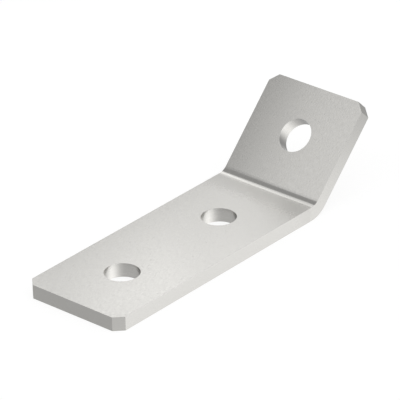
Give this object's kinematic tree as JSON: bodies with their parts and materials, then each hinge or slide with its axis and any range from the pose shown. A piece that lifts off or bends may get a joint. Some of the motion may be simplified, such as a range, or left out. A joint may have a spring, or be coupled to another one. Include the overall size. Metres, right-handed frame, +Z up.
{
  "type": "angle bracket",
  "caption": "Flat steel bar with cropped corners: a long base and a short arm bent up at forty-five degrees, drilled for bolts on the centre line.",
  "frame": {"origin": "on the underside of the base, midway between the base's two holes", "axes": "+X along the base towards the bend, +Y across the bar, +Z up, square to the base, on the side that the arm is bent towards"},
  "size_m": [0.1283, 0.04, 0.0318],
  "materials": {
    "steel": "satin, clean light grey, with crisp edges and brighter hole walls"
  },
  "bodies": {
    "root": {"angle_bracket": "steel"}
  },
  "joints": []
}
